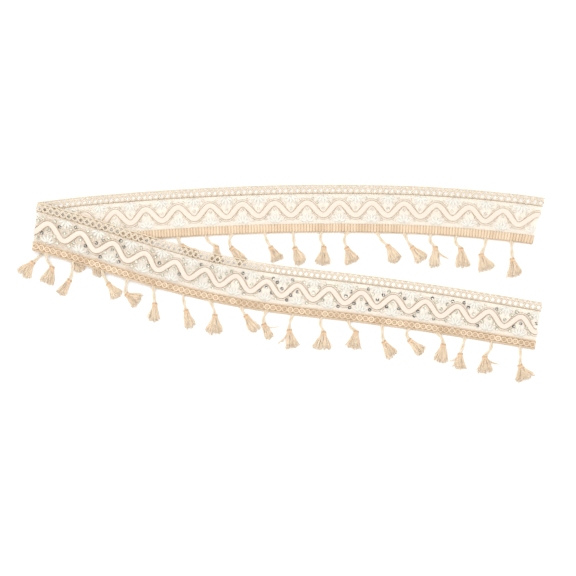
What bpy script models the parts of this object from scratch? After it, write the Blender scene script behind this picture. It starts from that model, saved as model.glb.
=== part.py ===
"""Tassel fringe trim: a cut length of lace ribbon with a gimp braid and tassels.

The trim lies flat on a table. It is folded back on itself once, at its left end, so its
back leg lies face down and its front leg lies over it face up, and both run to the right.

Every point of the ribbon is worked out in strip coordinates, in metres:
    s  along the gimp braid's centreline, 0 at the fold, negative on the back leg
    t  across the strip, 0 at the braid's centreline, positive towards the header
    h  above the reverse side, towards the face side
"""

import math
from typing import NamedTuple

import bmesh
import bpy
import numpy as np
from mathutils import Vector
from mathutils.geometry import interpolate_bezier

MM = 0.001

# Scale and origin. The tassels stand an inch apart, which is 27.8 pixels of the photograph.
PIXEL = 0.0254 / 27.8
ORIGIN_PX = (281.1, 283.3)

# The strip's own sizes.
BRAID_WIDTH = 7.8 * MM
BRAID_THICK = 2.2 * MM
BRAID_EDGE_INSET = 0.9 * MM
STITCH_RISE = 0.5 * MM
SEAM_GAP = 0.3 * MM
LACE_THICK = 1.0 * MM
FIELD_WIDTH = 27.0 * MM
HEADER_WIDTH = 8.2 * MM
EYELET_PITCH = 5.32 * MM
EYELET_RADIUS = 2.2 * MM
EYELET_FROM_FIELD = 3.1 * MM
EYELETS_BACK = 86
EYELETS_FRONT = 88
STEP = EYELET_PITCH / 2

# The raised wave tape: its middle runs this far above the seam, and its crest is nearest the fold here.
WAVE_PERIOD = 11 * STEP
WAVE_SWING = 5.6 * MM
WAVE_MIDDLE = 13.1 * MM
WAVE_CREST_AT = 12.6 * MM
TAPE_WIDTH = 4.2 * MM
TAPE_RISE = 0.6 * MM

SEAM = BRAID_WIDTH / 2 + SEAM_GAP
FIELD_TOP = SEAM + FIELD_WIDTH
HEADER_TOP = FIELD_TOP + HEADER_WIDTH

# The fold: its outer line in the photograph, and the braid's centreline on each leg.
CREASE_TOP_PX = (38.3, 200.5)
CREASE_FOOT_PX = (34.0, 250.0)
FRONT_LINE_PX = (
    (48, 249.5), (84, 260.3), (120, 271.7), (156, 282.6), (192, 292.2), (228, 300.0), (264, 306.3),
    (300, 311.0), (348, 316.4), (396, 322.6), (444, 329.6), (492, 337.4), (538, 345.3), (548, 347.1),
)
BACK_LINE_PX = (
    (48, 244.4), (84, 240.1), (132, 235.9), (180, 232.6), (228, 230.1), (276, 228.4), (324, 227.8),
    (372, 228.1), (420, 229.5), (468, 232.6), (516, 237.4), (535, 239.9), (545, 241.3),
)

# Heights of the reverse side over the table.
FRONT_LIFT = 3.1 * MM
FOLD_BULGE = 1.2 * MM
FOLD_BULGE_REACH = 26 * MM
SETTLE_AT_BRAID_PX = 142
SETTLE_AT_HEADER_PX = 254
SETTLE_LENGTH_PX = 36
LACE_SAG_WIDTH = 12 * MM
FOLD_STEPS = 6
SHEAR_KEPT = 8 * MM
SHEAR_GONE = 120 * MM
BACK_END_SLANT = 5.5 * MM
BACK_END_LENGTH = 60 * MM

# Tassels.
LOCKS = 6
CORD_HALF_WIDTH = 0.85 * MM
CORD_HALF_HEIGHT = 0.7 * MM
CORD_SEGMENTS = 3
CORD_GAP = 0.3 * MM
HEAD_HALF_HEIGHT = 1.25 * MM
HEAD_HALF_WIDTH = 2.0 * MM
HEAD_LENGTH = 3.2 * MM
WAIST_HALF_WIDTH = 1.7 * MM
SKIRT_HALF_HEIGHT = 0.9 * MM
LOCK_SHARE = 0.84


class Tassel(NamedTuple):
    """Where one tassel lies, in pixels of the photograph.

    bow is how far its cord bows to the right of a straight line. width is the skirt's at its
    end. stray is where a loose lock ends, if one strays from the skirt.
    """

    leg: str
    root_x: float
    head: tuple
    tip: tuple
    width: float
    bow: float = 0.0
    stray: tuple = None


TASSELS = (
    Tassel("back", 511.2, (511.8, 258.0), (515.8, 275.2), 15.5),
    Tassel("back", 485.6, (480.6, 253.5), (487.0, 269.5), 18.0, 1.5),
    Tassel("back", 456.3, (460.6, 247.6), (463.0, 266.5), 14.0, -3.0),
    Tassel("back", 430.8, (435.2, 246.3), (435.2, 266.0), 11.0, -3.0, (448.8, 258.0)),
    Tassel("back", 404.0, (411.2, 246.5), (422.8, 259.6), 14.0, -0.8),
    Tassel("back", 376.6, (387.2, 244.8), (396.8, 260.4), 13.0, -1.5),
    Tassel("back", 348.4, (346.3, 247.0), (353.2, 262.6), 15.5, -3.2),
    Tassel("back", 321.6, (323.9, 246.0), (322.8, 264.2), 15.0, -2.4),
    Tassel("back", 292.9, (294.4, 247.0), (301.2, 263.2), 11.5),
    Tassel("back", 264.2, (270.2, 246.4), (278.0, 259.8), 12.5, -0.8),
    Tassel("back", 232.3, (230.6, 247.2), (243.2, 261.0), 10.0, -2.0),
    Tassel("back", 205.5, (216.4, 245.6), (216.4, 263.0), 10.5, -2.4),
    Tassel("back", 178.6, (181.6, 245.4), (197.2, 256.6), 9.5, -1.2),
    Tassel("back", 151.0, (152.6, 252.0), (162.4, 267.2), 9.5, -1.0),
    Tassel("back", 123.6, (127.2, 252.4), (131.6, 269.2), 9.5, -1.0),
    Tassel("back", 96.0, (97.4, 257.6), (99.2, 275.8), 9.0, 1.0),
    Tassel("back", 68.5, (71.6, 256.6), (81.6, 270.6), 8.0, -1.0),
    Tassel("back", 42.0, (33.6, 261.6), (22.6, 275.0), 15.5, 1.2),
    Tassel("front", 46.6, (52.6, 266.2), (46.8, 282.8), 14.5, -2.2),
    Tassel("front", 73.4, (70.2, 279.4), (60.4, 293.6), 9.5, 0.5),
    Tassel("front", 102.0, (107.8, 283.2), (118.4, 296.4), 10.5, -0.6),
    Tassel("front", 127.8, (125.6, 293.6), (138.8, 302.2), 18.5, -0.8),
    Tassel("front", 153.2, (154.8, 302.6), (153.6, 320.4), 8.5),
    Tassel("front", 183.0, (185.8, 309.6), (190.2, 326.8), 11.0, -0.6),
    Tassel("front", 208.7, (215.0, 314.2), (214.0, 332.8), 17.0, 1.0),
    Tassel("front", 241.2, (245.2, 315.0), (256.0, 329.8), 9.5, -0.8),
    Tassel("front", 266.7, (263.4, 323.4), (270.4, 337.4), 8.0, -1.2, (277.8, 326.2)),
    Tassel("front", 293.5, (289.0, 329.2), (291.8, 347.4), 13.5, -1.2, (278.4, 342.6)),
    Tassel("front", 321.6, (323.8, 331.2), (322.0, 348.6), 17.0, -2.4),
    Tassel("front", 348.4, (356.4, 330.4), (353.0, 347.2), 12.0, -2.6),
    Tassel("front", 382.3, (383.2, 341.0), (392.6, 355.8), 13.0, -0.5),
    Tassel("front", 409.0, (408.6, 339.4), (421.8, 351.8), 10.5, -2.4),
    Tassel("front", 435.9, (443.4, 343.6), (440.8, 361.0), 14.5, 1.6),
    Tassel("front", 464.6, (460.2, 353.0), (458.8, 368.2), 13.0, 0.6, (450.2, 360.8)),
    Tassel("front", 491.4, (484.4, 355.6), (485.8, 372.2), 17.0, 2.4, (498.2, 363.8)),
    Tassel("front", 519.4, (519.6, 364.4), (525.4, 379.0), 20.0, 0.8),
)

# The look of each kind of piece: colour as the red, green and blue of a reflectance, and roughness.
LACE_FINISH = ("lace_cream", (0.93, 0.87, 0.78, 1.0), 0.85)
BRAID_FINISH = ("gimp_beige", (0.80, 0.62, 0.42, 1.0), 0.80)
TASSEL_FINISH = ("tassel_beige", (0.80, 0.64, 0.46, 1.0), 0.75)


def smoothstep(value):
    """A soft step from 0 to 1 as the value goes from 0 to 1."""
    clipped = min(1.0, max(0.0, value))
    return clipped * clipped * (3 - 2 * clipped)


def from_photo(point):
    """A point of the table, in metres, from a pixel of the photograph."""
    return Vector(((point[0] - ORIGIN_PX[0]) * PIXEL, (ORIGIN_PX[1] - point[1]) * PIXEL))


class Crease:
    """The fold's outer line on the table, and which way the legs run from it."""

    def __init__(self):
        self.foot = from_photo(CREASE_FOOT_PX)
        along = (from_photo(CREASE_TOP_PX) - self.foot).normalized()
        self.across = Vector((along.y, -along.x))

    def mirrored(self, point):
        """The point on the other side of the crease, where the back leg unfolds to."""
        return point - 2 * (point - self.foot).dot(self.across) * self.across


class Strip:
    """The trim's centreline, unfolded into one plane, and the map from it onto the table."""

    def __init__(self):
        self.crease = Crease()
        back = [self.crease.mirrored(from_photo(p)) for p in reversed(BACK_LINE_PX)]
        front = [from_photo(p) for p in FRONT_LINE_PX]
        line = self.smooth_line(back + front)
        length = np.concatenate([[0.0], np.cumsum(np.linalg.norm(np.diff(line, axis=0), axis=1))])
        from_crease = (line - np.array(self.crease.foot)) @ np.array(self.crease.across)
        self.line = line
        self.length = length - np.interp(0.0, from_crease, length)
        tangents = np.gradient(line, self.length, axis=0)
        self.tangents = tangents / np.linalg.norm(tangents, axis=1)[:, None]

    @staticmethod
    def smooth_line(points, per_span=24):
        """Points of a smooth curve through the given ones."""
        ends = [points[0] * 2 - points[1], *points, points[-1] * 2 - points[-2]]
        line = []
        for before, start, end, after in zip(ends, ends[1:], ends[2:], ends[3:]):
            knots = [start, start + (end - before) / 6, end - (after - start) / 6, end]
            span = interpolate_bezier(*(k.to_3d() for k in knots), per_span + 1)
            line += [p.xy for p in span[:-1]]
        return np.array([*line, points[-1]], float)

    def unfolded(self, s, t):
        """The point in the unfolded plane."""
        x, y = (np.interp(s, self.length, self.line[:, k]) for k in (0, 1))
        tx, ty = (np.interp(s, self.length, self.tangents[:, k]) for k in (0, 1))
        return Vector((x - t * ty, y + t * tx))

    def back_level(self, t):
        """How high the back leg's reverse side lies, as the braid and the thinner lace rest face down."""
        lace = LACE_THICK + TAPE_RISE
        return BRAID_THICK + (lace - BRAID_THICK) * smoothstep((t - SEAM) / LACE_SAG_WIDTH)

    def front_level(self, t, place):
        """How high the front leg's reverse side lies: over the back leg, then settling on the table."""
        share = min(1.0, max(0.0, t / HEADER_TOP))
        settle_px = SETTLE_AT_BRAID_PX + (SETTLE_AT_HEADER_PX - SETTLE_AT_BRAID_PX) * share
        place_px = place.x / PIXEL + ORIGIN_PX[0]
        return FRONT_LIFT * (1 - smoothstep((place_px - settle_px) / SETTLE_LENGTH_PX))

    def place(self, s, t, h=0.0):
        """The point of the folded trim, in the table's frame."""
        flat = self.unfolded(s, t)
        distance = (flat - self.crease.foot).dot(self.crease.across)
        on_crease = flat - distance * self.crease.across
        low = self.back_level(t)
        radius = (FRONT_LIFT + FOLD_BULGE - low) / 2
        quarter = radius * math.pi / 2
        if abs(distance) < quarter:
            turn = distance / radius
            reach = radius - (radius + h) * math.cos(turn)
            height = low + radius + (radius + h) * math.sin(turn)
        elif distance < 0:
            reach = radius - quarter - distance
            height = low - h
        else:
            reach = radius - quarter + distance
            where = on_crease + reach * self.crease.across
            bulge = FOLD_BULGE * (1 - smoothstep((distance - quarter) / FOLD_BULGE_REACH))
            height = self.front_level(t, where) + bulge + h
        where = on_crease + reach * self.crease.across
        return Vector((where.x, where.y, height))

    def at_slant(self, s, t):
        """The length at which a column that starts at s crosses t.

        Near the fold, columns run along the crease. At the back leg's end, along its slanted cut.
        """
        lean = self.crease.across.cross(Vector(self.tangents[np.searchsorted(self.length, 0.0)]))
        kept = 1 - smoothstep((abs(s) - SHEAR_KEPT) / (SHEAR_GONE - SHEAR_KEPT))
        near_end = smoothstep(1 - (s + EYELETS_BACK * EYELET_PITCH) / BACK_END_LENGTH)
        cut = t / HEADER_TOP * BACK_END_SLANT * near_end
        return s + t * math.tan(math.asin(lean)) * kept - cut

    def length_at(self, leg, x, t):
        """The length at which a leg's line at t reaches x on the table."""
        side = -1 if leg == "back" else 1
        lengths = np.linspace(0.01, 0.47, 231) * side
        found = [self.place(s, t).x for s in lengths]
        return float(np.interp(x, found, lengths))


def wave_at(s):
    """The wave tape's middle line across the strip."""
    turn = 2 * math.pi * (s - WAVE_CREST_AT) / WAVE_PERIOD
    return SEAM + WAVE_MIDDLE + WAVE_SWING * math.cos(turn)


def finish_of(finish):
    """The material with this look."""
    name, colour, roughness = finish
    material = bpy.data.materials.get(name)
    if material is None:
        material = bpy.data.materials.new(name)
        material.use_nodes = True
        shader = material.node_tree.nodes["Principled BSDF"]
        shader.inputs["Base Color"].default_value = colour
        shader.inputs["Roughness"].default_value = roughness
        shader.inputs["Metallic"].default_value = 0.0
    return material


def add_object(name, bm, finish, collection):
    """Makes the sub-part's object from its mesh."""
    mesh = bpy.data.meshes.new(name)
    bm.to_mesh(mesh)
    bm.free()
    mesh.materials.append(finish_of(finish))
    made = bpy.data.objects.new(name, mesh)
    collection.objects.link(made)
    return made


def flat_grid(lengths, rows):
    """A flat sheet of quads. rows are functions of the length, and each point holds (s, t, 0)."""
    bm = bmesh.new()
    bmesh.ops.create_grid(bm, x_segments=len(lengths) - 1, y_segments=len(rows) - 1, size=0.5)
    bm.verts.ensure_lookup_table()
    grid = [bm.verts[k * len(lengths):(k + 1) * len(lengths)] for k in range(len(rows))]
    return bm, grid


def thickened(bm, thickness):
    """Closes the sheet into a slab and returns the points of its face side."""
    faces = list(bm.faces)
    made = bmesh.ops.extrude_face_region(bm, geom=faces, use_keep_orig=True)
    top = [item for item in made["geom"] if isinstance(item, bmesh.types.BMVert)]
    for vert in top:
        vert.co.z = thickness
    return top


def lay_on(strip, bm):
    """Bends a closed mesh from strip coordinates onto the folded trim."""
    bmesh.ops.recalc_face_normals(bm, faces=bm.faces)
    for vert in bm.verts:
        vert.co = strip.place(*vert.co)


def build_lace(strip, collection):
    """The lace ribbon: eyelet header cut through, sheer field, and a raised wave tape on its face."""
    back = np.arange(-2 * EYELETS_BACK, -1) * STEP
    fold = np.linspace(-STEP, STEP, FOLD_STEPS + 1)
    front = np.arange(2, 2 * EYELETS_FRONT + 1) * STEP
    lengths = np.concatenate([back, fold, front])
    eyelets = [k for k, s in enumerate(lengths) if round(s / STEP) % 2 == 1 and abs(s) > STEP * 1.5]
    rows = (
        lambda s: SEAM,
        lambda s: wave_at(s) - TAPE_WIDTH / 2,
        wave_at,
        lambda s: wave_at(s) + TAPE_WIDTH / 2,
        lambda s: FIELD_TOP,
        lambda s: FIELD_TOP + EYELET_FROM_FIELD,
        lambda s: HEADER_TOP,
    )
    bm, grid = flat_grid(lengths, rows)
    for row, verts in zip(rows, grid):
        for s, vert in zip(lengths, verts):
            t = row(s)
            for _ in range(3):
                slanted = strip.at_slant(s, t)
                t = row(slanted)
            vert.co = (slanted, t, 0)

    centres = [grid[5][k] for k in eyelets]
    cut = bmesh.ops.bevel(bm, geom=centres, offset=EYELET_RADIUS, affect="VERTICES", segments=1)
    bmesh.ops.delete(bm, geom=cut["faces"], context="FACES_ONLY")
    top = {tuple(v.co.xy): v for v in thickened(bm, LACE_THICK)}
    for vert in grid[2]:
        top[tuple(vert.co.xy)].co.z += TAPE_RISE
    uneven = set()
    for k, s in enumerate(lengths):
        seam_level, field_level = (strip.place(*grid[row][k].co.xy).z for row in (0, 4))
        if s > FOLD_BULGE_REACH and seam_level != field_level:
            uneven.add(k)
    simplify_lace(bm, grid, eyelets, uneven, top)
    lay_on(strip, bm)
    return add_object("lace_ribbon", bm, LACE_FINISH, collection)


def simplify_lace(bm, grid, eyelets, uneven, top):
    """Takes out the lines that shape nothing.

    These are the wave's lines on the reverse side, and lines beside each eyelet. In the uneven
    columns the wave's lines stay, so that the reverse side keeps clear of the face.
    """
    seam, *wave, field, _, edge = grid
    idle = []
    for k in range(1, len(seam)):
        if not uneven & {k - 1, k}:
            idle += [bm.edges.get((row[k - 1], row[k])) for row in wave]
    for k in eyelets:
        for v in (edge[k], top[tuple(edge[k].co.xy)]):
            idle += [e for e in v.link_edges if abs(e.other_vert(v).co.x - v.co.x) < STEP / 2]
        if not uneven & {k - 1, k, k + 1}:
            below = [row[k] for row in (seam, *wave, field)]
            idle += [bm.edges.get(pair) for pair in zip(below, below[1:])]
            clear = field[k].co.y + SEAM_GAP
            idle += [e for e in field[k].link_edges if e.other_vert(field[k]).co.y > clear]
            idle.append(bm.edges.get((seam[k], top[tuple(seam[k].co.xy)])))
    bmesh.ops.dissolve_edges(bm, edges=list(set(idle)), use_verts=True)


def build_braid(strip, collection):
    """The gimp braid: flat on its reverse, with sloped edges and raised stitches on its face."""
    back = np.arange(-EYELETS_BACK, 0) * EYELET_PITCH
    fold = np.linspace(-STEP, STEP, FOLD_STEPS + 1)
    front = np.arange(1, EYELETS_FRONT + 1) * EYELET_PITCH
    lengths = np.concatenate([back, fold, front])
    edge = BRAID_WIDTH / 2
    bm, grid = flat_grid(lengths, (-edge, edge))
    for t, verts in zip((-edge, edge), grid):
        for s, vert in zip(lengths, verts):
            vert.co = (strip.at_slant(s, t), t, 0)
    for vert in thickened(bm, BRAID_THICK - STITCH_RISE):
        vert.co.y *= 1 - BRAID_EDGE_INSET / edge
    stitches = [f for f in bm.faces if f.calc_center_median().z > BRAID_THICK / 2]
    stitches = [f for f in stitches if abs(f.calc_center_median().x) > EYELET_PITCH]
    bmesh.ops.poke(bm, faces=stitches, offset=STITCH_RISE)
    lay_on(strip, bm)
    return add_object("gimp_braid", bm, BRAID_FINISH, collection)


def six_corners(centre, heading, half_width, half_height):
    """Six points of an upright, flat-bottomed section that faces along the heading."""
    side = Vector((heading.y, -heading.x, 0)).normalized()
    corners = []
    for k in range(LOCKS):
        angle = 2 * math.pi * k / LOCKS
        rise = half_height * math.sin(angle) / math.sin(math.pi / 3)
        corners.append(centre + side * half_width * math.cos(angle) + Vector((0, 0, rise)))
    return corners


def drawn_to(bm, face, points):
    """Extrudes one face on to new places for its corners."""
    new = bmesh.ops.extrude_discrete_faces(bm, faces=[face])["faces"][0]
    for vert, point in zip(new.verts, points):
        vert.co = point
    return new


def cord_path(strip, tassel):
    """The cord's middle line, from just off the braid's edge to the tassel's head."""
    edge = -BRAID_WIDTH / 2
    root_x = (tassel.root_x - ORIGIN_PX[0]) * PIXEL
    s = strip.length_at(tassel.leg, root_x, edge)
    start = strip.place(s, edge - CORD_GAP, BRAID_THICK / 2)
    head = from_photo(tassel.head).to_3d()
    head.z = HEAD_HALF_HEIGHT
    run = head - start
    side = Vector((-run.y, run.x, 0)).normalized() * (1 if run.y < 0 else -1)
    path = []
    for k in range(CORD_SEGMENTS + 1):
        share = k / CORD_SEGMENTS
        point = start.lerp(head, share) + side * tassel.bow * PIXEL * math.sin(math.pi * share)
        point.z = start.z + (head.z - start.z) * smoothstep(share)
        path.append(point)
    return path


def build_tassel(strip, name, tassel, collection):
    """One tassel: its cord, its tied head, and locks that stand apart below the head."""
    path = cord_path(strip, tassel)
    head = path[-1]
    tip = from_photo(tassel.tip).to_3d()
    tip.z = SKIRT_HALF_HEIGHT
    axis = tip - head
    axis.z = 0
    reach = axis.length
    axis.normalize()
    waist = head + axis * HEAD_LENGTH
    half_width = tassel.width * PIXEL / 2

    sections = [(p, CORD_HALF_WIDTH, CORD_HALF_HEIGHT) for p in path]
    sections += [
        (head + axis * HEAD_LENGTH * 0.3, HEAD_HALF_WIDTH * 0.9, HEAD_HALF_HEIGHT),
        (waist, WAIST_HALF_WIDTH, HEAD_HALF_HEIGHT),
    ]
    headings = [b - a for a, b in zip(path, path[1:])]
    headings = [headings[0]] + [a + b for a, b in zip(headings, headings[1:])] + [axis] * 3

    bm = bmesh.new()
    start = bmesh.ops.create_circle(bm, cap_ends=True, segments=LOCKS, radius=1.0)["verts"]
    copied = bmesh.ops.extrude_face_region(bm, geom=bm.faces[:], use_keep_orig=True)["geom"]
    face = next(item for item in copied if isinstance(item, bmesh.types.BMFace))
    order = matching_corners(face, start)
    rings = [six_corners(p, d, w, hh) for (p, w, hh), d in zip(sections, headings)]
    for vert, point in zip(start, rings[0]):
        vert.co = point
    for vert, k in zip(face.verts, order):
        vert.co = rings[1][k]
    for ring in rings[2:]:
        face = drawn_to(bm, face, [ring[k] for k in order])

    poked = bmesh.ops.poke(bm, faces=[face])
    strays = stray_lock(tassel, waist, axis)
    locks = [(wedge, [v.co.copy() for v in wedge.verts]) for wedge in poked["faces"]]
    for share in (0.5, 1.0):
        centre = waist + axis * (reach - HEAD_LENGTH) * share
        centre.z = HEAD_HALF_HEIGHT + (SKIRT_HALF_HEIGHT - HEAD_HALF_HEIGHT) * share
        wide = 1 + (half_width / WAIST_HALF_WIDTH - 1) * share
        low = 1 + (SKIRT_HALF_HEIGHT / HEAD_HALF_HEIGHT - 1) * share
        for k, (wedge, corners) in enumerate(locks):
            middle = sum(corners, Vector()) / 3
            spot = [spread(c, middle, waist, centre, axis, wide, low) for c in corners]
            if strays is not None:
                outward, move = strays
                if (middle - waist).dot(outward) > 0 and middle.z < HEAD_HALF_HEIGHT:
                    spot = [p + move * share * share for p in spot]
            locks[k] = (drawn_to(bm, wedge, spot), corners)
        if share < 1:
            part_walls(poked["verts"][0])
    bmesh.ops.recalc_face_normals(bm, faces=bm.faces)
    return add_object(name, bm, TASSEL_FINISH, collection)


def matching_corners(face, start):
    """For each corner of the face, the number of the start point that it lies on."""
    return [min(range(len(start)), key=lambda k: (start[k].co - v.co).length) for v in face.verts]


def part_walls(hub):
    """Splits each wall between two locks from the head's middle, so that they stay apart as they bend."""
    for wall in list(hub.link_faces):
        if len(wall.verts) == 4:
            corner = next(loop for loop in wall.loops if loop.vert == hub)
            bmesh.utils.face_split(wall, hub, corner.link_loop_next.link_loop_next.vert)


def spread(corner, middle, waist, centre, axis, wide, low):
    """Where a lock's corner goes as the skirt widens and flattens, drawn in so that locks stand apart."""
    side = Vector((axis.y, -axis.x, 0))
    local = middle + (corner - middle) * LOCK_SHARE - waist
    return centre + side * local.dot(side) * wide + Vector((0, 0, local.z * low))


def stray_lock(tassel, waist, axis):
    """The side on which a lock strays, and how far its end is from the skirt's edge, or nothing."""
    if tassel.stray is None:
        return None
    side = Vector((axis.y, -axis.x, 0))
    end = from_photo(tassel.stray).to_3d()
    tip = from_photo(tassel.tip).to_3d()
    if (end - waist).dot(side) < 0:
        side = -side
    edge = tip + side * tassel.width * PIXEL * 0.33
    move = end - edge
    move.z = 0
    return side, move


def main():
    """Builds the lace, the braid and the tassels in an emptied scene."""
    for leftover in list(bpy.data.objects):
        bpy.data.objects.remove(leftover)
    collection = bpy.data.collections.new("tassel_fringe_trim")
    bpy.context.scene.collection.children.link(collection)
    strip = Strip()
    build_lace(strip, collection)
    build_braid(strip, collection)
    for number, tassel in enumerate(TASSELS, start=1):
        build_tassel(strip, f"tassel_{number:02d}", tassel, collection)


if __name__ == "__main__":
    main()
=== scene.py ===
"""Looks of the tassel fringe trim: a cut length of lace ribbon with a gimp braid and tassels, laid flat.

The trim lies on a pale floor, folded back on itself once at its left end. Its back leg lies face
down and its front leg lies over it face up. Every thread of the ribbon is laid in strip
coordinates, in metres, and then bent onto the folded trim:
    s  along the gimp braid's centreline, 0 at the fold, negative on the back leg
    t  across the strip, 0 at the braid's centreline, positive towards the header
    h  above the reverse side, towards the face side
"""

import logging
import math
from dataclasses import dataclass, field
from enum import Enum
from functools import cache
from typing import NamedTuple

import bpy
import numpy as np
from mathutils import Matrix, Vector
from mathutils.geometry import interpolate_bezier


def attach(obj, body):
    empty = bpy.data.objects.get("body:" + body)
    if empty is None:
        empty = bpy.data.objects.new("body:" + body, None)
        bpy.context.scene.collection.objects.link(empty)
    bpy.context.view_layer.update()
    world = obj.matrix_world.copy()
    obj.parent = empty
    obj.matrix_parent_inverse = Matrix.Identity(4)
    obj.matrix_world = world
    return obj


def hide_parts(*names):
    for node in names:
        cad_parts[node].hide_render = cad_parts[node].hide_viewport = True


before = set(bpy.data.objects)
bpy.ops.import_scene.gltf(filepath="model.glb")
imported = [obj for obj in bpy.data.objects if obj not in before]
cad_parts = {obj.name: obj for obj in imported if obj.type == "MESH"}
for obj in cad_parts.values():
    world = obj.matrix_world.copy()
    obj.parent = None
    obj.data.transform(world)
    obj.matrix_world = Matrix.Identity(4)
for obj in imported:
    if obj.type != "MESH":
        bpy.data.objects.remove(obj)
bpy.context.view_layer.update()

logging.basicConfig(level=logging.INFO, format="%(message)s")
log = logging.getLogger("tassel_fringe_trim")

MM = 0.001
BODY = "root"
IMAGE_SIZE = 576

# Scale and origin. The tassels stand an inch apart, which is 27.8 pixels of the photograph.
PIXEL = 0.0254 / 27.8
ORIGIN_PX = (281.1, 283.3)

# The strip's own sizes.
BRAID_WIDTH = 7.8 * MM
BRAID_THICK = 2.2 * MM
SEAM = BRAID_WIDTH / 2 + 0.3 * MM
FIELD_TOP = SEAM + 27.0 * MM
HEADER_TOP = FIELD_TOP + 8.2 * MM
EYELET_PITCH = 5.32 * MM
EYELET_ROW = FIELD_TOP + 3.1 * MM
BACK_END = -86 * EYELET_PITCH
FRONT_END = 88 * EYELET_PITCH
LACE_RISE = 1.6 * MM

# The wave tape.
WAVE_PERIOD = 5.5 * EYELET_PITCH
WAVE_SWING = 5.6 * MM
WAVE_MIDDLE = SEAM + 13.1 * MM
WAVE_CREST_AT = 12.6 * MM

# The fold: its outer line in the photograph, and the braid's centreline on each leg.
CREASE_TOP_PX = (38.3, 200.5)
CREASE_FOOT_PX = (34.0, 250.0)
FRONT_LINE_PX = (
    (48, 249.5), (84, 260.3), (120, 271.7), (156, 282.6), (192, 292.2), (228, 300.0), (264, 306.3),
    (300, 311.0), (348, 316.4), (396, 322.6), (444, 329.6), (492, 337.4), (538, 345.3), (548, 347.1),
)
BACK_LINE_PX = (
    (48, 244.4), (84, 240.1), (132, 235.9), (180, 232.6), (228, 230.1), (276, 228.4), (324, 227.8),
    (372, 228.1), (420, 229.5), (468, 232.6), (516, 237.4), (535, 239.9), (545, 241.3),
)

# Heights of the reverse side over the floor.
FRONT_LIFT = 3.1 * MM
FOLD_BULGE = 1.2 * MM
FOLD_BULGE_REACH = 26 * MM
SETTLE_AT_BRAID_PX = 142
SETTLE_AT_HEADER_PX = 254
SETTLE_LENGTH_PX = 36
LACE_SAG_WIDTH = 12 * MM
SHEAR_KEPT = 8 * MM
SHEAR_GONE = 120 * MM
BACK_END_SLANT = 5.5 * MM
BACK_END_LENGTH = 60 * MM

# Tassels.
HEAD_HALF_HEIGHT = 1.25 * MM
SKIRT_HALF_HEIGHT = 0.9 * MM


class Leg(Enum):
    """The folded trim's two legs: the back one lies face down, and the front one over it."""

    BACK = -1
    FRONT = 1


class Tassel(NamedTuple):
    """Where one tassel lies, in pixels of the photograph.

    bow is how far its cord bows to the right of a straight line. width is the skirt's at its
    end. stray is where a loose lock ends, if one strays from the skirt.
    """

    leg: Leg
    root_x: float
    head: tuple
    tip: tuple
    width: float
    bow: float = 0.0
    stray: tuple | None = None


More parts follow.
